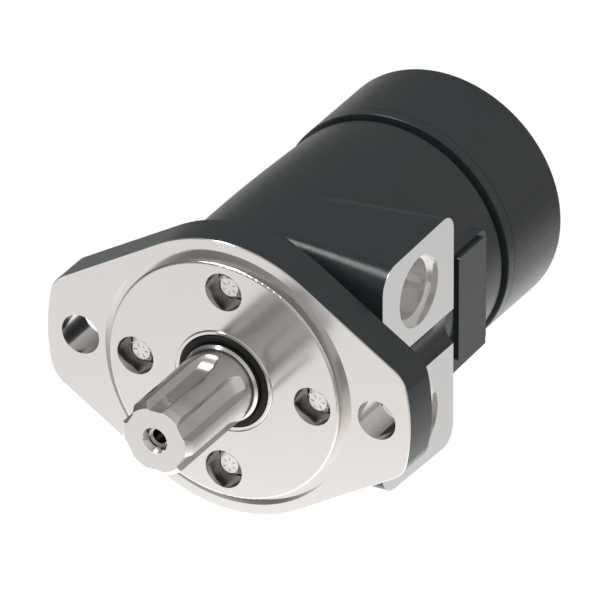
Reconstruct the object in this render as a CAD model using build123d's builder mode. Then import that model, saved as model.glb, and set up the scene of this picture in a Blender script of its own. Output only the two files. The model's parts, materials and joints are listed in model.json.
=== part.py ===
from build123d import *
import os
from math import atan, atan2, cos, degrees, pi, radians, sin, sqrt, tan

# Low-speed, high-torque orbital hydraulic motor with a built-in spool valve.
# Frame: origin at the centre of the flange's mounting face, the shaft's axis along Y with the
# shaft pointing -Y, the two mounting holes on X, the ports facing +X, Z up. Millimetres.

# ---- Driving dimensions ----

# Mounting flange: two-bolt, 82.5 mm pilot
bolt_spacing = 106.4
bolt_hole_d = 13.5
pilot_d = 82.5
pilot_h = 2.8
pilot_edge_r = 0.8
relief_outer_d = 88.4
relief_depth = 2.0
flange_t = 13.5
flange_end_r = 65.2
flange_mid_r = 47.8
flange_side_angle = 31.9
flange_corner_r = 10.0
flange_edge_chamfer = 0.3

# Screws that hold the flange to the housing, and the same pattern of head at the back
screw_circle_r = 31.75
screw_count = 4
screw_r = 3.95
screw_hole_r = 4.2
tapped_hole_r = 4.0
head_recess_d = 13.1
head_top_depth = 3.6
head_h = 7.0
head_flange_r = 6.2
head_flange_t = 1.6
head_lobe_r = 4.3
head_lobe_wave = 0.4
lobe_step = 5
head_top_r = 3.1
head_shoulder_slope = 0.8
head_mark_circle_r = 1.9
head_mark_l = 1.3
head_mark_w = 0.35
head_mark_depth = 0.3
flange_screw_l = 19.0
tapped_clearance = 1.5

# Output shaft: 25.4 mm, six-tooth spline, tapped end, raised journal under the seals
shaft_r = 12.65
shaft_end_y = -45.1
shaft_end_r = 10.95
shaft_chamfer_l = 1.65
journal_r = 13.4
journal_y = -5.4
journal_chamfer = 0.75
spline_teeth = 6
spline_floor_r = 10.3
spline_floor_half_w = 2.15
spline_flank_angle = 49.0
spline_full_y = -18.0
spline_runout_y = -9.0
runout_over = 0.3
spline_mill_over = 1.0
end_cone_r = 4.4
end_cone_slope = 1.7
end_pilot_r = 3.3
end_pilot_l = 1.5
end_tap_r = 2.65
end_tap_l = 19.0
drill_point_slope = 0.6

# Seals in the flange bore
dust_bore_r = 17.4
dust_bore_end_y = 4.2
dust_bore_edge = 0.2
dust_case_r = 17.36
dust_case_inner_r = 15.85
dust_case_y = -3.0
dust_case_edge = 0.35
dust_case_web = 1.0
dust_case_web_r = 14.8
dust_lip_y = -3.25
lip_edge = 0.6
lip_t = 1.1
lip_l = 1.7
web_r = 14.4
web_t = 1.5
shaft_seal_r = 18.0
shaft_seal_l = 6.3
shaft_seal_wall = 2.0
backup_gap = 0.02
running_gap = 0.03

# Thrust bearing in the housing's front
bearing_pocket_r = 22.5
collar_gap = 0.5
race_r = 22.3
race_inner_r = 13.8
race_t = 1.5
race_step = 0.3
needle_gap = 0.05
cage_pocket_gap = 0.1
needle_d = 3.0
needle_l = 5.6
needle_circle_r = 17.6
needle_count = 20
cage_t = 2.0
collar_r = 22.0
collar_t = 3.0

# Spool valve
spool_r = 18.0
bore_gap = 0.03
spool_end_y = 97.0
groove_depth = 1.8
groove_w = 6.0
groove_a_y = 33.0
groove_b_y = 61.0
slot_count = 6
slot_w = 3.5
slot_l = 14.0
timing_y = 47.0
timing_r = 2.25
passage_circle_r = 23.6
passage_r = 2.2

# Housing casting
housing_front_r = 41.2
housing_belly_r = 41.9
housing_belly_y = 53.0
housing_rear_r = 40.3
housing_edge_y = 102.5
housing_edge_r = 1.9
neck_r = 38.2
housing_end_y = 103.6

# Port block
pad_x = 44.9
block_root_x = 2.0
block_front_y = 18.2
block_root_front_y = 21.0
block_rear_y = 62.6
pad_front_z = 39.9
pad_rear_z = 41.3
root_front_z = 41.5
root_rear_z = 41.75
pad_front_corner_r = 8.0
root_front_corner_r = 3.5
pad_rear_corner_r = 6.0
root_rear_corner_r = 17.0
channel_half_w = 6.2
channel_depth = 3.0
port_y = 40.8
port_z = 23.4
port_mouth_r = 12.0
port_mouth_l = 3.1
port_thread_r = 10.15
port_thread_l = 14.0
port_drill_r = 4.0
port_drill_angle = 51.0
port_drill_start = 1.0

# Cast boss behind the ports, with a raised flat pad
boss_x = 40.7
boss_front_y = 60.6
boss_flat_y = 67.8
boss_rear_y = 90.3
boss_top_z = 20.6
boss_front_low_z = -22.4
boss_rear_low_z = -21.3
boss_blend_r = 3.0
tag_x = 42.4
tag_front_y = 70.4
tag_rear_y = 87.6
tag_top_z = 19.4
tag_low_z = -17.9
tag_corner_r = 1.5

# Check valves between the ports and the case
check_x = 21.4
check_z = 21.4
check_bore_r = 3.2
check_plug_y = 14.5
check_plug_l = 10.0
check_seat_r = 1.5
check_feed_y = 21.0
check_feed_r = 1.0
check_ball_r = 2.5
check_travel = 1.5
check_slot_w = 1.6
check_slot_edge = 0.3
check_seat_gap = 0.05

# Gerotor section
cover_r = 41.55
spacer_t = 3.9
ring_w = 13.4
cover_t = 16.5
joint_chamfer = 0.2
cover_edge_r = 1.2
roller_count = 7
roller_circle_r = 27.0
roller_r = 6.0
roller_chamfer = 0.3
pocket_gap = 0.04
star_gap = 0.04
side_gap = 0.03
eccentricity = 2.5
ring_inner_r = 26.6
cover_bolt_circle_r = 32.5
cover_bolt_l = 40.0
spacer_bore_r = 14.4

# Drive link and its splines
link_teeth = 12
link_front_y = 60.0
link_spline_half = 5.5
link_tip_r = 11.75
link_root_r = 9.9
link_crown = 0.35
link_shank_r = 7.5
link_blend = 4.0
socket_minor_r = 10.4
socket_major_r = 12.1
socket_space_share = 0.54
socket_over = 2.0
socket_relief = 4.0
socket_cone = 4.0
link_tooth_share = 0.42
drive_bore_r = 12.8
drive_spacer_r = 8.0
drive_spacer_t = 1.6
drive_spacer_chamfer = 0.2

# Face seals
seal_w = 1.9
seal_t = 1.3
seal_corner_share = 0.45
groove_clearance = 0.2
flange_oring_r = 24.9
housing_oring_r = 27.1
housing_oring_w = 1.5
ring_oring_r = 38.2
ring_oring_w = 1.7

# ---- Worked-out dimensions ----

pilot_face_y = -pilot_h
screw_seat_y = pilot_face_y + head_top_depth + head_h
shaft_seal_y = dust_bore_end_y + web_t
backup_y = shaft_seal_y + shaft_seal_l
race_y = flange_t
needle_y = race_y + race_t
rear_race_y = needle_y + needle_d
collar_y = rear_race_y + race_t
spool_y = collar_y + collar_t
spacer_y = housing_end_y
ring_y = spacer_y + spacer_t
cover_y = ring_y + ring_w
cover_end_y = cover_y + cover_t
star_w = ring_w - 2 * side_gap
star_y = ring_y + side_gap
drive_spacer_y = cover_y - side_gap - drive_spacer_t
link_rear_y = star_y + link_spline_half + side_gap
link_length = link_rear_y - link_front_y
link_tilt = degrees(atan(eccentricity / link_length))
chamber_start = 180 / roller_count
cover_bolt_seat_y = cover_end_y - head_top_depth / 2 - head_h
channel_r = (channel_half_w**2 + channel_depth**2) / (2 * channel_depth)
port_bottom_x = pad_x - port_mouth_l - port_thread_l
port_drill_x = port_bottom_x + port_drill_start
check_plug_end_y = check_plug_y + check_plug_l
check_ball_y = check_plug_end_y + sqrt(check_ball_r**2 - check_seat_r**2) + check_seat_gap
check_bore_end_y = check_ball_y + check_ball_r + check_travel

os.makedirs("parts", exist_ok=True)


def across(y, x=0.0):
    """Plane square to the motor's axis at y, seen from the shaft: local x is X, local y is Z."""
    return Plane(origin=(x, y, 0), x_dir=(1, 0, 0), z_dir=(0, -1, 0))


# Half-plane for turned profiles: local x is the radius, local y runs back along the axis.
turning = Plane(origin=(0, 0, 0), x_dir=(1, 0, 0), z_dir=(0, 0, 1))
main_axis = Axis((0, 0, 0), (0, 1, 0))


def finish(piece, name):
    """Name a finished piece and write it."""
    piece.label = name
    export_step(piece, f"parts/{name}.step")


def turned(points):
    """Turn a closed (radius, y) outline round the main axis, outside any builder."""
    with BuildPart() as blank:
        with BuildSketch(turning):
            with BuildLine():
                Polyline(*points, close=True)
            make_face()
        revolve(axis=main_axis)
    return blank.part


def washer(y_start, y_end, inner_r, outer_r):
    """Plain ring square to the axis."""
    return turned([(inner_r, y_start), (outer_r, y_start), (outer_r, y_end), (inner_r, y_end)])


def seal_ring(y_start, centre_r, width):
    """Face seal as it sits squeezed in its groove."""
    with BuildPart() as ring:
        with BuildSketch(turning):
            with Locations((centre_r, y_start + seal_t / 2)):
                RectangleRounded(width, seal_t, seal_t * seal_corner_share)
        revolve(axis=main_axis)
    return ring.part


def seal_groove(y_start, centre_r, width, depth=seal_t):
    """Groove that the face seal sits in, to be cut away."""
    return washer(y_start, y_start + depth, centre_r - width / 2, centre_r + width / 2)


def spline_outline(minor_r, major_r, teeth, share):
    """Straight-flanked spline outline; share is the part of each pitch the tooth takes."""
    with BuildSketch() as outline:
        Circle(minor_r)
        tooth_w = 2 * major_r * sin(pi * share / teeth)
        with PolarLocations(0, teeth):
            with Locations((major_r / 2, 0)):
                Rectangle(major_r, tooth_w)
        Circle(major_r, mode=Mode.INTERSECT)
    return outline.sketch


def screw(seat_y, length, towards=-1):
    """Six-lobe flanged screw on the Y axis. Its head stands on seat_y, out towards -Y or +Y."""
    top_y = seat_y + towards * head_h
    with BuildPart() as body:
        with BuildSketch(across(seat_y)):
            Circle(screw_r)
        extrude(amount=towards * length)
        with BuildSketch(across(seat_y)):
            Circle(head_flange_r)
        extrude(amount=-towards * head_flange_t)
        with BuildSketch(across(seat_y)):
            with BuildLine():
                Spline(*[lobe_point(i * lobe_step) for i in range(360 // lobe_step)], periodic=True)
            make_face()
        extrude(amount=-towards * head_h)
        with BuildSketch(turning):
            with BuildLine():
                Polyline(
                    (0, top_y),
                    (head_top_r, top_y),
                    (head_flange_r, top_y - towards * (head_flange_r - head_top_r) * head_shoulder_slope),
                    (head_flange_r, seat_y - towards * length),
                    (0, seat_y - towards * length),
                    close=True,
                )
            make_face()
        revolve(axis=main_axis, mode=Mode.INTERSECT)
        with BuildSketch(across(top_y)):
            with PolarLocations(head_mark_circle_r, 6):
                Rectangle(head_mark_l, head_mark_w)
        extrude(amount=towards * head_mark_depth, mode=Mode.SUBTRACT)
    return body.part


def lobe_point(angle):
    """Point of the screw head's six-lobe outline."""
    r = head_lobe_r + head_lobe_wave * cos(radians(6 * angle))
    return (r * cos(radians(angle)), r * sin(radians(angle)))


def chamber_angle(index):
    """Direction of a gerotor chamber, half-way between two rollers."""
    return chamber_start + index * 360 / roller_count


def polar(radius, angle):
    """Local (x, y) of a polar position."""
    return (radius * cos(radians(angle)), radius * sin(radians(angle)))


# ---- Mounting flange ----

corner_angle = degrees(atan2(
    flange_mid_r * cos(radians(flange_side_angle))
    - sqrt(flange_end_r**2 - flange_mid_r**2) * sin(radians(flange_side_angle)),
    flange_mid_r * sin(radians(flange_side_angle))
    + sqrt(flange_end_r**2 - flange_mid_r**2) * cos(radians(flange_side_angle)),
))
tangent_angle = 90 - flange_side_angle

with BuildPart() as mounting_flange:
    with BuildSketch(across(0)) as flange_outline:
        with BuildLine():
            CenterArc((0, 0), flange_mid_r, tangent_angle, 2 * flange_side_angle)
            CenterArc((0, 0), flange_mid_r, 180 + tangent_angle, 2 * flange_side_angle)
            CenterArc((0, 0), flange_end_r, -corner_angle, 2 * corner_angle)
            CenterArc((0, 0), flange_end_r, 180 - corner_angle, 2 * corner_angle)
            for turn in (1, -1):
                for side in (1, -1):
                    near_x, near_z = polar(flange_mid_r, tangent_angle)
                    far_x, far_z = polar(flange_end_r, corner_angle)
                    Line((side * near_x, turn * near_z), (side * far_x, turn * far_z))
        make_face()
        corners = flange_outline.vertices().filter_by(lambda v: abs(v.X) > bolt_spacing / 2)
        fillet(corners, flange_corner_r)
    extrude(amount=-flange_t)
    chamfer(mounting_flange.edges().group_by(Axis.Y)[0], flange_edge_chamfer)
    with BuildSketch(across(0)):
        Circle(relief_outer_d / 2)
        Circle(pilot_d / 2, mode=Mode.SUBTRACT)
    extrude(amount=-relief_depth, mode=Mode.SUBTRACT)
    with BuildSketch(across(0)):
        Circle(pilot_d / 2)
    extrude(amount=pilot_h)
    fillet(mounting_flange.edges().group_by(Axis.Y)[0], pilot_edge_r)
    with BuildSketch(across(0)):
        with Locations((-bolt_spacing / 2, 0), (bolt_spacing / 2, 0)):
            Circle(bolt_hole_d / 2)
    extrude(amount=-flange_t, mode=Mode.SUBTRACT)
    with BuildSketch(across(pilot_face_y)):
        with PolarLocations(screw_circle_r, screw_count):
            Circle(head_recess_d / 2)
    extrude(amount=-(screw_seat_y - pilot_face_y), mode=Mode.SUBTRACT)
    with BuildSketch(across(pilot_face_y)):
        with PolarLocations(screw_circle_r, screw_count):
            Circle(screw_hole_r)
    extrude(amount=-(flange_t - pilot_face_y), mode=Mode.SUBTRACT)
    add(
        turned([
            (0, pilot_face_y),
            (dust_bore_r + dust_bore_edge, pilot_face_y),
            (dust_bore_r, pilot_face_y + dust_bore_edge),
            (dust_bore_r, dust_bore_end_y),
            (web_r, dust_bore_end_y),
            (web_r, shaft_seal_y),
            (shaft_seal_r, shaft_seal_y),
            (shaft_seal_r, flange_t),
            (0, flange_t),
        ]),
        mode=Mode.SUBTRACT,
    )
    add(seal_groove(flange_t - seal_t, flange_oring_r, seal_w + groove_clearance), mode=Mode.SUBTRACT)
finish(mounting_flange.part, "mounting_flange")

flange_screw = screw(screw_seat_y, flange_screw_l)
with BuildPart() as flange_screws:
    for corner in range(screw_count):
        x, z = polar(screw_circle_r, corner * 360 / screw_count)
        add(Pos(x, 0, z) * Rot(0, -corner * 360 / screw_count, 0) * flange_screw)
finish(flange_screws.part, "flange_screws")

# ---- Seals in the flange ----

with BuildPart() as dust_seal_case:
    add(turned([
        (dust_case_inner_r, dust_case_y + dust_case_edge),
        (dust_case_inner_r + dust_case_edge, dust_case_y),
        (dust_case_r - dust_case_edge, dust_case_y),
        (dust_case_r, dust_case_y + dust_case_edge),
        (dust_case_r, dust_bore_end_y),
        (dust_case_web_r, dust_bore_end_y),
        (dust_case_web_r, dust_bore_end_y - dust_case_web),
        (dust_case_inner_r, dust_bore_end_y - dust_case_web),
    ]))
finish(dust_seal_case.part, "dust_seal_case")

rubber_r = dust_case_inner_r - running_gap
rubber_end_y = dust_bore_end_y - dust_case_web - running_gap
lip_tip_r = journal_r + running_gap
with BuildPart() as dust_seal:
    add(turned([
        (lip_tip_r, dust_lip_y + lip_edge),
        (lip_tip_r + lip_edge, dust_lip_y),
        (rubber_r - lip_edge, dust_lip_y),
        (rubber_r, dust_lip_y + lip_edge),
        (rubber_r, rubber_end_y),
        (dust_case_web_r, rubber_end_y),
        (lip_tip_r + lip_t, dust_lip_y + lip_l + lip_t),
        (lip_tip_r, dust_lip_y + lip_l),
    ]))
finish(dust_seal.part, "dust_seal")

with BuildPart() as shaft_seal:
    add(turned([
        (shaft_seal_r, shaft_seal_y),
        (shaft_seal_r, backup_y),
        (shaft_seal_r - shaft_seal_wall, backup_y),
        (shaft_seal_r - shaft_seal_wall, shaft_seal_y + shaft_seal_wall),
        (lip_tip_r + lip_t + lip_edge, shaft_seal_y + shaft_seal_wall),
        (lip_tip_r + lip_t, backup_y - lip_edge),
        (lip_tip_r, backup_y - lip_l),
        (lip_tip_r + lip_edge, shaft_seal_y),
    ]))
finish(shaft_seal.part, "shaft_seal")

with BuildPart() as seal_backup_washer:
    add(washer(backup_y, flange_t, race_inner_r, shaft_seal_r - backup_gap))
finish(seal_backup_washer.part, "seal_backup_washer")

with BuildPart() as flange_oring:
    add(seal_ring(flange_t - seal_t, flange_oring_r, seal_w))
finish(flange_oring.part, "flange_oring")

# ---- Thrust bearing ----

with BuildPart() as front_thrust_race:
    add(washer(race_y, needle_y - backup_gap, race_inner_r, race_r))
finish(front_thrust_race.part, "front_thrust_race")

with BuildPart() as rear_thrust_race:
    add(washer(rear_race_y, collar_y, race_inner_r - race_step, race_r - race_step))
finish(rear_thrust_race.part, "rear_thrust_race")

needle_mid_y = needle_y + needle_d / 2
needle_r = needle_d / 2 - needle_gap
with BuildPart() as thrust_cage:
    add(washer(
        needle_mid_y - cage_t / 2, needle_mid_y + cage_t / 2, race_inner_r + race_step, race_r - race_step,
    ))
    with BuildSketch(across(needle_mid_y - cage_t / 2)):
        with PolarLocations(needle_circle_r, needle_count):
            Rectangle(needle_l + 2 * cage_pocket_gap, needle_d + cage_pocket_gap)
    extrude(amount=-cage_t, mode=Mode.SUBTRACT)
finish(thrust_cage.part, "thrust_cage")

with BuildPart() as thrust_needles:
    for index in range(needle_count):
        angle = index * 360 / needle_count
        start_x, start_z = polar(needle_circle_r - needle_l / 2, angle)
        direction_x, direction_z = polar(1, angle)
        outward = Plane(origin=(start_x, needle_mid_y, start_z), z_dir=(direction_x, 0, direction_z))
        with BuildSketch(outward):
            Circle(needle_r)
        extrude(amount=needle_l)
finish(thrust_needles.part, "thrust_needles")

# ---- Output shaft with the spool valve ----

# One spline gap as its cutter leaves it: flat floor, sloping flanks, lifting out at the run-out.
gap_h = shaft_r + spline_mill_over - spline_floor_r
gap_top_half_w = spline_floor_half_w + gap_h * tan(radians(spline_flank_angle))
with BuildPart() as spline_gap:
    with BuildLine(turning) as cutter_path:
        straight = Line((spline_floor_r, shaft_end_y - spline_mill_over), (spline_floor_r, spline_full_y))
        TangentArc(straight @ 1, (shaft_r + runout_over, spline_runout_y), tangent=straight % 1)
    with BuildSketch(across(shaft_end_y - spline_mill_over)):
        with BuildLine():
            Polyline(
                (spline_floor_r, -spline_floor_half_w),
                (spline_floor_r + gap_h, -gap_top_half_w),
                (spline_floor_r + gap_h, gap_top_half_w),
                (spline_floor_r, spline_floor_half_w),
                close=True,
            )
        make_face()
    sweep(path=cutter_path.wires()[0])

with BuildPart() as link_socket:
    with BuildSketch(across(link_front_y - link_spline_half - socket_over)):
        add(spline_outline(socket_minor_r, socket_major_r, link_teeth, socket_space_share))
    extrude(amount=-2 * (link_spline_half + socket_over))

with BuildPart() as output_shaft:
    add(turned([
        (0, shaft_end_y),
        (shaft_end_r, shaft_end_y),
        (shaft_r, shaft_end_y + shaft_chamfer_l),
        (shaft_r, journal_y),
        (journal_r, journal_y + journal_chamfer),
        (journal_r, collar_y),
        (collar_r, collar_y),
        (collar_r, spool_y),
        (spool_r, spool_y),
        (spool_r, groove_a_y - groove_w / 2),
        (spool_r - groove_depth, groove_a_y - groove_w / 2),
        (spool_r - groove_depth, groove_a_y + groove_w / 2),
        (spool_r, groove_a_y + groove_w / 2),
        (spool_r, groove_b_y - groove_w / 2),
        (spool_r - groove_depth, groove_b_y - groove_w / 2),
        (spool_r - groove_depth, groove_b_y + groove_w / 2),
        (spool_r, groove_b_y + groove_w / 2),
        (spool_r, spool_end_y),
        (drive_bore_r, spool_end_y),
        (drive_bore_r, link_front_y + link_spline_half + socket_over),
        (socket_minor_r, link_front_y + link_spline_half + socket_over),
        (socket_minor_r, link_front_y - link_spline_half - socket_relief),
        (0, link_front_y - link_spline_half - socket_relief - socket_cone),
    ]))
    for index in range(spline_teeth):
        add(Rot(0, (index + 0.5) * 360 / spline_teeth, 0) * spline_gap.part, mode=Mode.SUBTRACT)
    add(link_socket.part, mode=Mode.SUBTRACT)
    for slot_y, slot_turn in ((groove_a_y + groove_w / 2, 0), (groove_b_y - groove_w / 2 - slot_l, 30)):
        with BuildSketch(across(slot_y)):
            with PolarLocations(spool_r, slot_count, start_angle=slot_turn):
                Rectangle(2 * groove_depth, slot_w)
        extrude(amount=-slot_l, mode=Mode.SUBTRACT)
    cone_l = (end_cone_r - end_pilot_r) * end_cone_slope
    add(
        turned([
            (0, shaft_end_y),
            (end_cone_r, shaft_end_y),
            (end_pilot_r, shaft_end_y + cone_l),
            (end_pilot_r, shaft_end_y + cone_l + end_pilot_l),
            (end_tap_r, shaft_end_y + cone_l + end_pilot_l),
            (end_tap_r, shaft_end_y + cone_l + end_pilot_l + end_tap_l),
            (0, shaft_end_y + cone_l + end_pilot_l + end_tap_l + end_tap_r * drill_point_slope),
        ]),
        mode=Mode.SUBTRACT,
    )
finish(output_shaft.part, "output_shaft")

# ---- Housing ----


def block_section(x, front_y, front_z, rear_z, front_corner_r, rear_corner_r):
    """Outline of the port block square to X: straight-sided, rounded at the top and bottom."""
    plane = Plane(origin=(x, 0, 0), x_dir=(0, 1, 0), z_dir=(1, 0, 0))
    with BuildSketch(plane) as outline:
        with BuildLine():
            Polyline(
                (front_y, front_z),
                (block_rear_y, rear_z),
                (block_rear_y, -rear_z),
                (front_y, -front_z),
                close=True,
            )
        make_face()
        fillet(outline.vertices().group_by(Axis.X)[0], front_corner_r)
        fillet(outline.vertices().group_by(Axis.X)[-1], rear_corner_r)
    return outline.sketch.face()


# The block's top and bottom leave the round of the housing almost tangentially. Its front face
# leans forward towards the pads.
with BuildPart() as port_block:
    add(loft([
        block_section(
            block_root_x, block_root_front_y, root_front_z, root_rear_z,
            root_front_corner_r, root_rear_corner_r,
        ),
        block_section(
            pad_x, block_front_y, pad_front_z, pad_rear_z, pad_front_corner_r, pad_rear_corner_r,
        ),
    ], mode=Mode.PRIVATE))
    # Rounded channel between the two pads
    with BuildSketch(across(block_front_y)):
        with Locations((pad_x - channel_depth + channel_r, 0)):
            Circle(channel_r)
    extrude(amount=-(block_rear_y - block_front_y), mode=Mode.SUBTRACT)

side_plane = Plane(origin=(0, 0, 0), x_dir=(0, 1, 0), z_dir=(1, 0, 0))
with BuildPart() as boss:
    with BuildSketch(side_plane):
        with BuildLine():
            Polyline(
                (boss_front_y, boss_top_z),
                (boss_rear_y, boss_top_z),
                (boss_rear_y, boss_rear_low_z),
                (boss_front_y, boss_front_low_z),
                close=True,
            )
        make_face()
    extrude(amount=boss_x)

with BuildPart() as tag_pad:
    with BuildSketch(side_plane.offset(boss_x)):
        with Locations(((tag_front_y + tag_rear_y) / 2, (tag_top_z + tag_low_z) / 2)):
            RectangleRounded(tag_rear_y - tag_front_y, tag_top_z - tag_low_z, tag_corner_r)
    extrude(amount=tag_x - boss_x)

with BuildPart() as housing:
    with BuildSketch(turning):
        with BuildLine():
            belly = ThreePointArc(
                (housing_front_r, flange_t),
                (housing_belly_r, housing_belly_y),
                (housing_rear_r, housing_edge_y),
            )
            Polyline(
                belly @ 1,
                (neck_r, housing_edge_y),
                (neck_r, housing_end_y),
                (0, housing_end_y),
                (0, flange_t),
                belly @ 0,
            )
        make_face()
    revolve(axis=main_axis)
    rear_rim = housing.edges().filter_by(GeomType.CIRCLE).filter_by(
        lambda e: abs(e.center().Y - housing_edge_y) < 0.1 and e.radius > neck_r + 0.1)
    fillet(rear_rim, housing_edge_r)
    # The flat behind the block is milled where the round surface stands above it.
    with BuildSketch(side_plane.offset(boss_x)):
        with Locations(((boss_flat_y + boss_rear_y) / 2, 0)):
            Rectangle(boss_rear_y - boss_flat_y, 2 * boss_top_z)
    extrude(amount=tag_x - boss_x, mode=Mode.SUBTRACT)
    add(boss.part)
    top_seam = housing.edges().filter_by(
        lambda e: abs(e.center().Z - boss_top_z) < 0.1 and 30 < e.center().X < boss_x - 2)
    fillet(top_seam, boss_blend_r)
    add(port_block.part)
    add(tag_pad.part)
    # Thrust bearing pocket, spool bore and its two ring grooves
    add(
        turned([
            (0, flange_t),
            (bearing_pocket_r, flange_t),
            (bearing_pocket_r, spool_y + collar_gap),
            (spool_r + bore_gap, spool_y + collar_gap),
            (spool_r + bore_gap, housing_end_y),
            (0, housing_end_y),
        ]),
        mode=Mode.SUBTRACT,
    )
    for groove_y in (groove_a_y, groove_b_y):
        add(
            washer(groove_y - groove_w / 2, groove_y + groove_w / 2, spool_r, spool_r + groove_depth),
            mode=Mode.SUBTRACT,
        )
    # Flange screw holes
    with BuildSketch(across(flange_t)):
        with PolarLocations(screw_circle_r, screw_count):
            Circle(tapped_hole_r)
    screw_depth = screw_seat_y + flange_screw_l - flange_t + tapped_clearance
    extrude(amount=-screw_depth, mode=Mode.SUBTRACT)
    # Cover bolt holes and the seven passages to the gerotor chambers
    with BuildSketch(across(housing_end_y)):
        with PolarLocations(cover_bolt_circle_r, roller_count, start_angle=chamber_start):
            Circle(tapped_hole_r)
    bolt_depth = housing_end_y - (cover_bolt_seat_y - cover_bolt_l) + tapped_clearance
    extrude(amount=bolt_depth, mode=Mode.SUBTRACT)
    with BuildSketch(across(housing_end_y)):
        with PolarLocations(passage_circle_r, roller_count, start_angle=chamber_start):
            Circle(passage_r)
    extrude(amount=housing_end_y - timing_y + timing_r, mode=Mode.SUBTRACT)
    for index in range(roller_count):
        out_x, out_z = polar(1, chamber_angle(index))
        timing_plane = Plane(origin=(0, timing_y, 0), z_dir=(out_x, 0, out_z))
        with BuildSketch(timing_plane):
            Circle(timing_r)
        extrude(amount=passage_circle_r, mode=Mode.SUBTRACT)
    # Ports, with the drilled ways to the ring grooves
    for side, groove_y in ((1, groove_a_y), (-1, groove_b_y)):
        for hole_r, hole_l in ((port_mouth_r, port_mouth_l), (port_thread_r, pad_x - port_bottom_x)):
            with BuildSketch(Plane(origin=(pad_x, port_y, side * port_z), z_dir=(1, 0, 0))):
                Circle(hole_r)
            extrude(amount=-hole_l, mode=Mode.SUBTRACT)
        end_x, end_z = polar(spool_r, side * port_drill_angle)
        way = Vector(end_x - port_drill_x, groove_y - port_y, end_z - side * port_z)
        with BuildSketch(Plane(origin=(port_drill_x, port_y, side * port_z), z_dir=way)):
            Circle(port_drill_r)
        extrude(amount=way.length, mode=Mode.SUBTRACT)
        # Check valve bore from the housing's front face, its feed from the bearing pocket and its
        # crossed slots into the port's drilled way
        valve_face = Plane(origin=(check_x, flange_t, side * check_z), z_dir=(0, 1, 0))
        with BuildSketch(valve_face):
            Circle(check_bore_r)
        extrude(amount=check_bore_end_y - flange_t, mode=Mode.SUBTRACT)
        with BuildSketch(valve_face):
            Rectangle(2 * (check_bore_r - check_slot_edge), check_slot_w)
            Rectangle(check_slot_w, 2 * (check_bore_r - check_slot_edge))
        way_share = (port_drill_x - check_x) / (port_drill_x - end_x)
        meeting_y = port_y + (groove_y - port_y) * way_share
        extrude(amount=meeting_y - flange_t, mode=Mode.SUBTRACT)
        with BuildSketch(Plane(origin=(0, check_feed_y, 0), z_dir=(1, 0, side))):
            Circle(check_feed_r)
        extrude(amount=sqrt(check_x**2 + check_z**2), mode=Mode.SUBTRACT)
    add(
        seal_groove(housing_end_y - seal_t, housing_oring_r, housing_oring_w + groove_clearance),
        mode=Mode.SUBTRACT,
    )
finish(housing.part, "housing")

# ---- Check valves ----

with BuildPart() as check_plugs:
    for side in (1, -1):
        with BuildSketch(Plane(origin=(check_x, check_plug_y, side * check_z), z_dir=(0, 1, 0))):
            Circle(check_bore_r)
        extrude(amount=check_plug_l)
        with BuildSketch(Plane(origin=(check_x, check_plug_y, side * check_z), z_dir=(0, 1, 0))):
            RegularPolygon(check_seat_r, 6)
        extrude(amount=check_plug_l / 3, mode=Mode.SUBTRACT)
        with BuildSketch(Plane(origin=(check_x, check_plug_end_y, side * check_z), z_dir=(0, 1, 0))):
            Circle(check_seat_r)
        extrude(amount=-(check_plug_end_y - check_feed_y + check_feed_r), mode=Mode.SUBTRACT)
        with BuildSketch(Plane(origin=(0, check_feed_y, 0), z_dir=(1, 0, side))):
            Circle(check_feed_r)
        extrude(amount=sqrt(check_x**2 + check_z**2), mode=Mode.SUBTRACT)
finish(check_plugs.part, "check_plugs")

for side, letter in ((1, "a"), (-1, "b")):
    with BuildPart() as check_ball:
        with Locations((check_x, check_ball_y, side * check_z)):
            Sphere(check_ball_r)
    finish(check_ball.part, f"check_ball_{letter}")

# ---- Spacer plate, gerotor ring and end cover ----

bolt_places = PolarLocations(cover_bolt_circle_r, roller_count, start_angle=chamber_start)
with BuildPart() as spacer_plate:
    with BuildSketch(across(spacer_y)):
        Circle(cover_r)
        Circle(spacer_bore_r, mode=Mode.SUBTRACT)
        with PolarLocations(passage_circle_r, roller_count, start_angle=chamber_start):
            Circle(passage_r, mode=Mode.SUBTRACT)
        with bolt_places:
            Circle(screw_hole_r, mode=Mode.SUBTRACT)
    extrude(amount=-spacer_t)
    chamfer(spacer_plate.edges().filter_by(GeomType.CIRCLE).sort_by(SortBy.RADIUS)[-2:], joint_chamfer)
finish(spacer_plate.part, "spacer_plate")

with BuildPart() as geroler_ring:
    with BuildSketch(across(ring_y)):
        Circle(cover_r)
        Circle(ring_inner_r, mode=Mode.SUBTRACT)
        with PolarLocations(roller_circle_r, roller_count):
            Circle(roller_r + pocket_gap, mode=Mode.SUBTRACT)
        with bolt_places:
            Circle(screw_hole_r, mode=Mode.SUBTRACT)
    extrude(amount=-ring_w)
    for groove_y in (ring_y, cover_y - seal_t):
        add(seal_groove(groove_y, ring_oring_r, ring_oring_w + groove_clearance), mode=Mode.SUBTRACT)
finish(geroler_ring.part, "geroler_ring")

for index in range(roller_count):
    roller_x, roller_z = polar(roller_circle_r, index * 360 / roller_count)
    with BuildPart() as roller:
        with BuildSketch(across(star_y)):
            with Locations((roller_x, roller_z)):
                Circle(roller_r)
        extrude(amount=-star_w)
        chamfer(roller.edges().filter_by(GeomType.CIRCLE), roller_chamfer)
    finish(roller.part, f"roller_{index + 1}")

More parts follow.
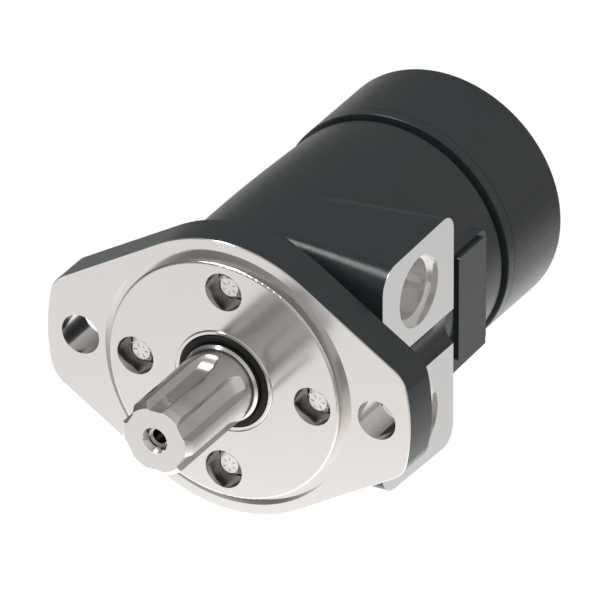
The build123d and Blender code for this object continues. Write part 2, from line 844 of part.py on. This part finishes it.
with BuildPart() as end_cover:
    with BuildSketch(across(cover_y)):
        Circle(cover_r)
        with bolt_places:
            Circle(screw_hole_r, mode=Mode.SUBTRACT)
    extrude(amount=-cover_t)
    with BuildSketch(across(cover_end_y)):
        with bolt_places:
            Circle(head_recess_d / 2)
    extrude(amount=cover_end_y - cover_bolt_seat_y, mode=Mode.SUBTRACT)
    outer_edge = end_cover.edges().filter_by(
        lambda e: e.geom_type == GeomType.CIRCLE and e.radius > cover_r - 0.1).sort_by(Axis.Y)[-1]
    fillet(outer_edge, cover_edge_r)
finish(end_cover.part, "end_cover")

cover_bolt = screw(cover_bolt_seat_y, cover_bolt_l, towards=1)
with BuildPart() as end_cover_bolts:
    for index in range(roller_count):
        x, z = polar(cover_bolt_circle_r, chamber_angle(index))
        add(Pos(x, 0, z) * Rot(0, -chamber_angle(index), 0) * cover_bolt)
finish(end_cover_bolts.part, "end_cover_bolts")

for name, start_y, centre_r, width in (
    ("housing_oring", housing_end_y - seal_t, housing_oring_r, housing_oring_w),
    ("spacer_oring", ring_y, ring_oring_r, ring_oring_w),
    ("cover_oring", cover_y - seal_t, ring_oring_r, ring_oring_w),
):
    with BuildPart() as face_seal:
        add(seal_ring(start_y, centre_r, width))
    finish(face_seal.part, name)

# ---- Star, drive link and drive spacer ----

lobe_count = roller_count - 1


def star_point(angle):
    """Star flank: the path of a roller's centre seen from the star, moved in by the roller."""
    path_x = roller_circle_r * cos(angle) - eccentricity * cos(roller_count * angle)
    path_y = roller_circle_r * sin(angle) - eccentricity * sin(roller_count * angle)
    slope_x = -roller_circle_r * sin(angle) + eccentricity * roller_count * sin(roller_count * angle)
    slope_y = roller_circle_r * cos(angle) - eccentricity * roller_count * cos(roller_count * angle)
    slope = sqrt(slope_x**2 + slope_y**2)
    inward = roller_r + star_gap
    return (path_x - inward * slope_y / slope, path_y + inward * slope_x / slope)


star_steps = 30 * lobe_count
with BuildPart() as gerotor_star:
    with BuildSketch(across(star_y, x=eccentricity)):
        with BuildLine():
            Spline(*[star_point(2 * pi * i / star_steps) for i in range(star_steps)], periodic=True)
        make_face()
        add(
            spline_outline(socket_minor_r, socket_major_r, link_teeth, socket_space_share),
            mode=Mode.SUBTRACT,
        )
    extrude(amount=-star_w)
finish(gerotor_star.part, "gerotor_star")

# The link is made straight on the main axis, then tilted about the centre of its front spline.
with BuildPart() as straight_link:
    for spline_y in (link_front_y, link_rear_y):
        with BuildSketch(across(spline_y - link_spline_half)):
            add(spline_outline(link_root_r, link_tip_r + 1, link_teeth, link_tooth_share))
        extrude(amount=-2 * link_spline_half)
    with BuildSketch(turning):
        with BuildLine():
            Polyline(
                (link_tip_r - link_crown, link_front_y - link_spline_half),
                (0, link_front_y - link_spline_half),
                (0, link_rear_y + link_spline_half),
                (link_tip_r - link_crown, link_rear_y + link_spline_half),
            )
            ThreePointArc(
                (link_tip_r - link_crown, link_rear_y + link_spline_half),
                (link_tip_r, link_rear_y),
                (link_tip_r - link_crown, link_rear_y - link_spline_half),
            )
            Line(
                (link_tip_r - link_crown, link_rear_y - link_spline_half),
                (link_tip_r - link_crown, link_front_y + link_spline_half),
            )
            ThreePointArc(
                (link_tip_r - link_crown, link_front_y + link_spline_half),
                (link_tip_r, link_front_y),
                (link_tip_r - link_crown, link_front_y - link_spline_half),
            )
        make_face()
    revolve(axis=main_axis, mode=Mode.INTERSECT)
    add(turned([
        (0, link_front_y + link_spline_half),
        (link_root_r, link_front_y + link_spline_half),
        (link_shank_r, link_front_y + link_spline_half + link_blend),
        (link_shank_r, link_rear_y - link_spline_half - link_blend),
        (link_root_r, link_rear_y - link_spline_half),
        (0, link_rear_y - link_spline_half),
    ]))

link_pivot = Pos(0, link_front_y, 0)
tilted_link = link_pivot * Rot(0, 0, -link_tilt) * link_pivot.inverse() * straight_link.part
with BuildPart() as drive_link:
    add(tilted_link)
finish(drive_link.part, "drive_link")

with BuildPart() as drive_spacer:
    with BuildSketch(across(drive_spacer_y, x=eccentricity)):
        Circle(drive_spacer_r)
    extrude(amount=-drive_spacer_t)
    chamfer(drive_spacer.edges().filter_by(GeomType.CIRCLE), drive_spacer_chamfer)
finish(drive_spacer.part, "drive_spacer")
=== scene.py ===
import json
import math

import bpy
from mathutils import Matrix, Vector


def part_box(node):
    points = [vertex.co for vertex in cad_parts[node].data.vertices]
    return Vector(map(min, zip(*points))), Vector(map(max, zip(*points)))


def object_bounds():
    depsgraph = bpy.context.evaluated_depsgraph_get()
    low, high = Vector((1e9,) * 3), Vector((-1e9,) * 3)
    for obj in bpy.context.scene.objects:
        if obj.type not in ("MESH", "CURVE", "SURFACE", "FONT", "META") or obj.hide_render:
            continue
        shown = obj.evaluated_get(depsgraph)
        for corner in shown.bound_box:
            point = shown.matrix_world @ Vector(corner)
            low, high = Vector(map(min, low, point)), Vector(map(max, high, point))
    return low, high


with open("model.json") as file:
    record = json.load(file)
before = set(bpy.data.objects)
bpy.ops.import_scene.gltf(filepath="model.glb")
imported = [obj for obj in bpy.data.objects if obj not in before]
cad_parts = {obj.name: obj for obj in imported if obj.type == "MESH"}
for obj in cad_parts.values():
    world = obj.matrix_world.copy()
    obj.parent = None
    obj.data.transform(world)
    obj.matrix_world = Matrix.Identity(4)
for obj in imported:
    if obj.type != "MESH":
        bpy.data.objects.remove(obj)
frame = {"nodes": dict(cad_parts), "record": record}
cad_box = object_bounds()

# Looks of the orbital hydraulic motor. Metres, in the CAD frame: the origin is the centre of the
# flange's mounting face, the shaft points -Y, the ports face +X, Z is up.

MM = 0.001

# ---- Places on the motor, read from the frame ----

mounts = {mount["name"]: mount for mount in frame["record"]["mounts"]}
flange_back_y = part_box("mounting_flange")[1].y
pad_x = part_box("housing")[1].x
_, port_y, port_z = mounts["port_a"]["pos_m"]
hole_x = mounts["flange_bolts"]["dims"]["spacing_x_mm"] * MM / 2
hole_r = mounts["flange_bolts"]["dims"]["hole_r_mm"] * MM
pilot_r = mounts["pilot"]["dims"]["r_mm"] * MM

# ---- Where the bare metal ends, a little past each machined edge ----

FRONT_END_Y = 0.35 * MM
HOLE_MARGIN = 0.15 * MM
RELIEF_END_Y = 2.4 * MM
BACK_SKIN = 0.1 * MM
PAD_SKIN = 0.06 * MM
PAD_SOFTNESS = 0.04 * MM
PORT_MOUTH_R = 12.1 * MM
PORT_DEPTH = 20.0 * MM
relief_end_r = pilot_r + 3.2 * MM
pilot_inside_r = pilot_r - 0.4 * MM


# ---- Node helpers ----


def put(tree, socket, value):
    """Link an output to a socket, or set the socket's own value."""
    if isinstance(value, bpy.types.NodeSocket):
        tree.links.new(value, socket)
    else:
        socket.default_value = value


def maths(tree, operation, *values):
    """Output of a Math node."""
    node = tree.nodes.new("ShaderNodeMath")
    node.operation = operation
    for index, value in enumerate(values):
        put(tree, node.inputs[index], value)
    return node.outputs[0]


def spread(tree, value, low, high):
    """Map a 0 to 1 value to a range."""
    node = tree.nodes.new("ShaderNodeMapRange")
    put(tree, node.inputs["Value"], value)
    node.inputs["To Min"].default_value = low
    node.inputs["To Max"].default_value = high
    return node.outputs["Result"]


def step(tree, value, edge, softness=0.05 * MM, rising=True):
    """0 to 1 as value passes edge, or 1 to 0 when not rising."""
    node = tree.nodes.new("ShaderNodeMapRange")
    node.interpolation_type = "SMOOTHSTEP"
    put(tree, node.inputs["Value"], value)
    node.inputs["From Min"].default_value = edge - softness
    node.inputs["From Max"].default_value = edge + softness
    node.inputs["To Min"].default_value = 0.0 if rising else 1.0
    node.inputs["To Max"].default_value = 1.0 if rising else 0.0
    return node.outputs["Result"]


def distance(tree, a, b, centre_a=0.0, centre_b=0.0):
    """Distance of (a, b) from a centre line."""
    da = maths(tree, "SUBTRACT", a, centre_a)
    db = maths(tree, "SUBTRACT", b, centre_b)
    squares = maths(tree, "ADD", maths(tree, "MULTIPLY", da, da), maths(tree, "MULTIPLY", db, db))
    return maths(tree, "SQRT", squares)


def xyz(tree):
    """The piece's own X, Y and Z, which are the frame's."""
    split = tree.nodes.new("ShaderNodeSeparateXYZ")
    coords = tree.nodes.new("ShaderNodeTexCoord").outputs["Object"]
    tree.links.new(coords, split.inputs[0])
    return split.outputs["X"], split.outputs["Y"], split.outputs["Z"]


def along_shaft(tree):
    """Place along the shaft's axis."""
    return xyz(tree)[1]


def from_shaft(tree):
    """Distance from the shaft's axis."""
    x, _, z = xyz(tree)
    return distance(tree, x, z)


def blend_color(tree, factor, first, second):
    """Colour mix of two sockets or values."""
    node = tree.nodes.new("ShaderNodeMix")
    node.data_type = "RGBA"
    put(tree, node.inputs["Factor"], factor)
    put(tree, node.inputs["A"], first)
    put(tree, node.inputs["B"], second)
    return node.outputs["Result"]


def place_noise(tree, scale, detail):
    """Noise over the piece's own coordinates, from 0 to 1."""
    noise = tree.nodes.new("ShaderNodeTexNoise")
    coords = tree.nodes.new("ShaderNodeTexCoord").outputs["Object"]
    tree.links.new(coords, noise.inputs["Vector"])
    noise.inputs["Scale"].default_value = scale
    noise.inputs["Detail"].default_value = detail
    return noise.outputs["Fac"]


def line_noise(tree, along, scale, detail):
    """Noise that changes only along one measure, such as a radius, as cutting marks do."""
    noise = tree.nodes.new("ShaderNodeTexNoise")
    noise.noise_dimensions = "1D"
    tree.links.new(along, noise.inputs["W"])
    noise.inputs["Scale"].default_value = scale
    noise.inputs["Detail"].default_value = detail
    return noise.outputs["Fac"]


def bump(tree, height, depth):
    """Normal from a height between 0 and 1 that stands for depth metres."""
    node = tree.nodes.new("ShaderNodeBump")
    node.inputs["Strength"].default_value = 1.0
    node.inputs["Distance"].default_value = depth
    tree.links.new(height, node.inputs["Height"])
    return node.outputs["Normal"]


def new_material(name):
    """An empty material, its node tree and the socket that its surface goes to."""
    material = bpy.data.materials.new(name)
    material.use_nodes = True
    tree = material.node_tree
    tree.nodes.clear()
    output = tree.nodes.new("ShaderNodeOutputMaterial")
    return material, tree, output.inputs["Surface"]


def principled(tree, color, roughness, normal, metallic=1.0, specular=0.5):
    """Principled surface: bare metal, unless metallic says otherwise."""
    shader = tree.nodes.new("ShaderNodeBsdfPrincipled")
    put(tree, shader.inputs["Base Color"], color)
    put(tree, shader.inputs["Roughness"], roughness)
    shader.inputs["Metallic"].default_value = metallic
    shader.inputs["Specular IOR Level"].default_value = specular
    tree.links.new(normal, shader.inputs["Normal"])
    return shader.outputs["BSDF"]


def mix_shaders(tree, factor, first, second):
    """First surface where factor is 0, second where it is 1."""
    node = tree.nodes.new("ShaderNodeMixShader")
    tree.links.new(factor, node.inputs[0])
    tree.links.new(first, node.inputs[1])
    tree.links.new(second, node.inputs[2])
    return node.outputs[0]


# ---- Finishes ----
# Colours are linear, and scales are noise cells per metre. ROUGH is a roughness from and to.

PAINT = (0.023, 0.0275, 0.030, 1.0)
PAINT_THIN = (0.029, 0.0345, 0.037, 1.0)
PAINT_ROUGH = (0.23, 0.31)
PAINT_SPECULAR = 0.35
PAINT_BUMP = 0.012 * MM
SHADE_SCALE = 70.0
CAST_SCALE = 260.0
CAST_SHARE = 0.7
PEEL_SCALE = 1500.0

STEEL = (0.71, 0.68, 0.66, 1.0)
STEEL_DARK = (0.62, 0.595, 0.575, 1.0)
STEEL_ROUGH = (0.12, 0.19)
MARK_SCALE = 2600.0
MARK_BUMP = 0.0005 * MM
STAIN_SCALE = 55.0
STAIN_SHARE = 0.25

PAD_STEEL = (0.61, 0.605, 0.60, 1.0)
PAD_ROUGH = (0.15, 0.22)
PAD_SLANT = 0.35
BORE_STEEL = (0.90, 0.885, 0.865, 1.0)
BORE_ROUGH = (0.09, 0.14)
BORE_SCALE = 700.0
BORE_METALLIC = 0.62

SHAFT_STEEL = (0.69, 0.67, 0.65, 1.0)
SHAFT_ROUGH = (0.12, 0.20)
SHAFT_SCALE = 1800.0
HARD_STEEL = (0.60, 0.59, 0.58, 1.0)
HARD_SCALE = 3000.0
CASE_ROUGH = (0.10, 0.16)
CASE_SCALE = 1500.0

SCREW_STEEL = (0.80, 0.79, 0.77, 1.0)
SCREW_DULL = (0.66, 0.65, 0.63, 1.0)
BRASS = (0.72, 0.52, 0.22, 1.0)
BRASS_DULL = (0.60, 0.42, 0.17, 1.0)
RUBBER = (0.005, 0.0045, 0.004, 1.0)
RUBBER_DUSTY = (0.012, 0.011, 0.0095, 1.0)


def paint_shader(tree):
    """Semi-gloss charcoal enamel over a casting: fine orange peel, slight change of shade."""
    cast = place_noise(tree, CAST_SCALE, detail=4.0)
    peel = place_noise(tree, PEEL_SCALE, detail=2.0)
    shade = blend_color(tree, place_noise(tree, SHADE_SCALE, detail=5.0), PAINT, PAINT_THIN)
    rough = spread(tree, cast, *PAINT_ROUGH)
    peel_height = maths(tree, "MULTIPLY", peel, 1.0 - CAST_SHARE)
    height = maths(tree, "MULTIPLY_ADD", cast, CAST_SHARE, peel_height)
    normal = bump(tree, height, PAINT_BUMP)
    return principled(tree, shade, rough, normal, metallic=0.0, specular=PAINT_SPECULAR)


def machined_shader(
    tree, along, color=STEEL, worn=STEEL_DARK, scale=MARK_SCALE, rough=STEEL_ROUGH, metallic=1.0
):
    """Cut steel: fine tool marks that follow one measure, and a faint change of shade."""
    marks = line_noise(tree, along, scale, detail=3.0)
    stain = spread(tree, place_noise(tree, STAIN_SCALE, detail=5.0), 0.0, STAIN_SHARE)
    shade = blend_color(tree, stain, color, worn)
    normal = bump(tree, marks, MARK_BUMP)
    return principled(tree, shade, spread(tree, marks, *rough), normal, metallic)


def flange_material():
    """Bare turned front, relief groove, pilot, bores and mounting holes; painted edge and back."""
    material, tree, surface = new_material("flange_finish")
    x, y, z = xyz(tree)
    radius = distance(tree, x, z)
    front = step(tree, y, FRONT_END_Y, rising=False)
    relief = maths(
        tree, "MULTIPLY", step(tree, radius, relief_end_r, rising=False),
        step(tree, y, RELIEF_END_Y, rising=False),
    )
    inside = maths(
        tree, "MULTIPLY", step(tree, radius, pilot_inside_r, rising=False),
        step(tree, y, flange_back_y - BACK_SKIN, rising=False),
    )
    bare = maths(tree, "MAXIMUM", maths(tree, "MAXIMUM", front, relief), inside)
    for side in (-1, 1):
        hole = distance(tree, x, z, side * hole_x)
        bare = maths(tree, "MAXIMUM", bare, step(tree, hole, hole_r + HOLE_MARGIN, rising=False))
    metal = machined_shader(tree, radius)
    tree.links.new(mix_shaders(tree, bare, paint_shader(tree), metal), surface)
    return material


def housing_material():
    """Painted casting with bare port pads and bored ports."""
    material, tree, surface = new_material("housing_finish")
    x, y, z = xyz(tree)
    mouths = [
        step(tree, distance(tree, y, z, port_y, side * port_z), PORT_MOUTH_R, rising=False)
        for side in (-1, 1)
    ]
    deep = step(tree, x, pad_x - PORT_DEPTH)
    bore = maths(tree, "MULTIPLY", maths(tree, "MAXIMUM", *mouths), deep)
    pad = step(tree, x, pad_x - PAD_SKIN, PAD_SOFTNESS)
    across_pad = maths(tree, "MULTIPLY_ADD", y, PAD_SLANT, x)
    metal = machined_shader(tree, across_pad, color=PAD_STEEL, rough=PAD_ROUGH)
    bored = machined_shader(
        tree, x, color=BORE_STEEL, worn=STEEL, scale=BORE_SCALE, rough=BORE_ROUGH, metallic=BORE_METALLIC
    )
    casting = mix_shaders(tree, bore, paint_shader(tree), bored)
    tree.links.new(mix_shaders(tree, pad, casting, metal), surface)
    return material


def paint_material():
    """The housing's enamel all over, for the smooth rear cylinder."""
    material, tree, surface = new_material("charcoal_paint")
    tree.links.new(paint_shader(tree), surface)
    return material


def cut_material(name, measure, **finish):
    """Cut steel all over, with tool marks that follow a measure of the piece."""
    material, tree, surface = new_material(name)
    tree.links.new(machined_shader(tree, measure(tree), **finish), surface)
    return material


def grained_material(name, first, second, scale, detail, rough, depth, **kind):
    """One fine grain that changes shade, roughness and height together."""
    material, tree, surface = new_material(name)
    grain = place_noise(tree, scale, detail)
    shade = blend_color(tree, grain, first, second)
    normal = bump(tree, grain, depth)
    tree.links.new(principled(tree, shade, spread(tree, grain, *rough), normal, **kind), surface)
    return material


def dress(node_names, material):
    """Give CAD nodes a material."""
    for name in node_names:
        mesh = frame["nodes"][name].data
        mesh.materials.clear()
        mesh.materials.append(material)


ground_steel = cut_material(
    "ground_steel", along_shaft, color=SHAFT_STEEL, scale=SHAFT_SCALE, rough=SHAFT_ROUGH
)
screw_steel = grained_material(
    "screw_steel", SCREW_STEEL, SCREW_DULL, scale=900.0, detail=3.0, rough=(0.22, 0.36), depth=0.004 * MM
)
nitrile_rubber = grained_material(
    "nitrile_rubber", RUBBER, RUBBER_DUSTY, scale=1400.0, detail=4.0, rough=(0.50, 0.66),
    depth=0.01 * MM, metallic=0.0, specular=0.25,
)
stamped_brass = grained_material(
    "stamped_brass", BRASS, BRASS_DULL, scale=600.0, detail=4.0, rough=(0.25, 0.40), depth=0.005 * MM
)
pressed_steel = cut_material(
    "pressed_steel", from_shaft, worn=STEEL, scale=CASE_SCALE, rough=CASE_ROUGH
)
hardened_steel = cut_material(
    "hardened_steel_finish", along_shaft, color=HARD_STEEL, scale=HARD_SCALE
)

rubber_nodes = [name for name in frame["nodes"] if name.endswith(("oring", "_seal"))]
hard_nodes = [
    name for name in frame["nodes"] if name.startswith(("roller", "check", "gerotor", "drive"))
]
hard_nodes += ["seal_backup_washer", "front_thrust_race", "rear_thrust_race", "thrust_needles"]

dress(["mounting_flange"], flange_material())
dress(["housing"], housing_material())
dress(["spacer_plate", "geroler_ring", "end_cover"], paint_material())
dress(["output_shaft"], ground_steel)
dress(["flange_screws", "end_cover_bolts"], screw_steel)
dress(rubber_nodes, nitrile_rubber)
dress(["thrust_cage"], stamped_brass)
dress(["dust_seal_case"], pressed_steel)
dress(hard_nodes, hardened_steel)

# ---- Floor ----
# It glows FAR_GLOW far out, NEAR_GLOW within NEAR_R and POOL_GLOW more within POOL_R: painted light,
# a pool of light painted under the motor where no lamp shines. The camera sees at least SEEN_GLOW.

FLOOR_DROP = 0.30
FLOOR_HALF = 12.0
FLOOR_COLOR = (0.5, 0.5, 0.498, 1.0)
FAR_GLOW = 0.15
NEAR_GLOW = 0.58
NEAR_R = 0.9
NEAR_SOFTNESS = 0.25
POOL_GLOW = 0.60
POOL_R = 0.48
POOL_SOFTNESS = 0.13
SEEN_GLOW = 0.66


def floor_material():
    """Matt, with a painted pool of light glowing most under the motor, and bright all over to the camera;
    clear from below.
    """
    material, tree, surface = new_material("pale_floor")
    matt = tree.nodes.new("ShaderNodeBsdfDiffuse")
    matt.inputs["Color"].default_value = FLOOR_COLOR
    x, y, _ = xyz(tree)
    from_middle = distance(tree, x, y)
    # Painted light: the floor glows brighter near the motor and most in a pool beneath it.
    near = step(tree, from_middle, NEAR_R, NEAR_SOFTNESS, rising=False)
    pool = step(tree, from_middle, POOL_R, POOL_SOFTNESS, rising=False)
    lit_up = maths(tree, "MULTIPLY_ADD", pool, POOL_GLOW, spread(tree, near, FAR_GLOW, NEAR_GLOW))
    seen = tree.nodes.new("ShaderNodeLightPath").outputs["Is Camera Ray"]
    glow = tree.nodes.new("ShaderNodeEmission")
    strength = maths(tree, "MAXIMUM", lit_up, maths(tree, "MULTIPLY", seen, SEEN_GLOW))
    tree.links.new(strength, glow.inputs["Strength"])
    lit = tree.nodes.new("ShaderNodeAddShader")
    tree.links.new(matt.outputs[0], lit.inputs[0])
    tree.links.new(glow.outputs[0], lit.inputs[1])
    clear = tree.nodes.new("ShaderNodeBsdfTransparent")
    back = tree.nodes.new("ShaderNodeNewGeometry").outputs["Backfacing"]
    tree.links.new(mix_shaders(tree, back, lit.outputs[0], clear.outputs[0]), surface)
    return material


def make_floor():
    """Pale floor with a painted pool of light, well below the motor, which hangs in the air as on its
    bracket.
    """
    mesh = bpy.data.meshes.new("floor")
    z = cad_box[0].z - FLOOR_DROP
    corners = [(-1, -1), (1, -1), (1, 1), (-1, 1)]
    mesh.from_pydata([(a * FLOOR_HALF, b * FLOOR_HALF, z) for a, b in corners], [], [(0, 1, 2, 3)])
    mesh.materials.append(floor_material())
    floor = bpy.data.objects.new("floor", mesh)
    bpy.context.scene.collection.objects.link(floor)


make_floor()

# ---- Light ----
# SKY is the surround's mean strength, SKY_RIGHT and SKY_FRONT what it gains to each side, and
# SKY_SEEN the least that the camera sees.

SKY = 0.45
SKY_RIGHT = 0.30
SKY_FRONT = 0.056
SKY_SEEN = 0.95
WHITE = (1.0, 1.0, 1.0, 1.0)

KEY_PLACE = Vector((-0.72, -0.40, 1.38))
KEY_AIM = Vector((0.0, 0.04, 0.0))
KEY_SIDE = 0.7
KEY_POWER = 15.0


def make_world():
    """Soft studio surround, brighter to the right and a little to the front; near white to the camera."""
    world = bpy.data.worlds.new("studio")
    world.use_nodes = True
    tree = world.node_tree
    tree.nodes.clear()
    coords = tree.nodes.new("ShaderNodeTexCoord").outputs["Generated"]
    split = tree.nodes.new("ShaderNodeSeparateXYZ")
    tree.links.new(coords, split.inputs[0])
    to_right = maths(tree, "MULTIPLY_ADD", split.outputs["X"], SKY_RIGHT, SKY)
    sky = maths(tree, "MULTIPLY_ADD", split.outputs["Y"], -SKY_FRONT, to_right)
    seen = tree.nodes.new("ShaderNodeLightPath").outputs["Is Camera Ray"]
    strength = maths(tree, "MAXIMUM", sky, maths(tree, "MULTIPLY", seen, SKY_SEEN))
    surround = tree.nodes.new("ShaderNodeBackground")
    surround.inputs["Color"].default_value = WHITE
    tree.links.new(strength, surround.inputs["Strength"])
    output = tree.nodes.new("ShaderNodeOutputWorld")
    tree.links.new(surround.outputs[0], output.inputs["Surface"])
    bpy.context.scene.world = world


def make_key_light():
    """Square soft light, high at the front left."""
    light = bpy.data.lights.new("key", "AREA")
    light.shape = "RECTANGLE"
    light.size = light.size_y = KEY_SIDE
    light.energy = KEY_POWER
    lamp = bpy.data.objects.new("key", light)
    bpy.context.scene.collection.objects.link(lamp)
    lamp.location = KEY_PLACE
    lamp.rotation_mode = "QUATERNION"
    lamp.rotation_quaternion = (KEY_AIM - KEY_PLACE).to_track_quat("-Z", "Y")


make_world()
make_key_light()

# ---- Camera at the photo's viewing angle ----
# The picture is PICTURE_WIDTH wide on the plane SCALE_DEPTH behind the mounting face's centre. Its
# middle is CENTRE_RIGHT and CENTRE_UP of that centre. The clips are shares of the camera's reach.

AZIMUTH = math.radians(30.0)
ELEVATION = math.radians(30.0)
PICTURE_WIDTH = 187.56 * MM
SCALE_DEPTH = 45.0 * MM
CENTRE_RIGHT = 22.34 * MM
CENTRE_UP = 23.95 * MM
LENS = 1450.0
SENSOR = 36.0
NEAR_CLIP = 0.5
FAR_CLIP = 4.0


def make_camera():
    """Long lens, so the view is almost parallel."""
    level = math.cos(ELEVATION)
    back = Vector((math.sin(AZIMUTH) * level, -math.cos(AZIMUTH) * level, math.sin(ELEVATION)))
    right = Vector((math.cos(AZIMUTH), math.sin(AZIMUTH), 0.0))
    up = back.cross(right)
    reach = PICTURE_WIDTH * LENS / SENSOR
    data = bpy.data.cameras.new("camera")
    data.lens = LENS
    data.sensor_width = SENSOR
    data.clip_start = reach * NEAR_CLIP
    data.clip_end = reach * FAR_CLIP
    camera = bpy.data.objects.new("camera", data)
    bpy.context.scene.collection.objects.link(camera)
    camera.location = right * CENTRE_RIGHT + up * CENTRE_UP + back * (reach - SCALE_DEPTH)
    camera.rotation_mode = "QUATERNION"
    camera.rotation_quaternion = (-back).to_track_quat("-Z", "Y")
    bpy.context.scene.camera = camera


make_camera()
bpy.context.scene.view_settings.view_transform = "Standard"
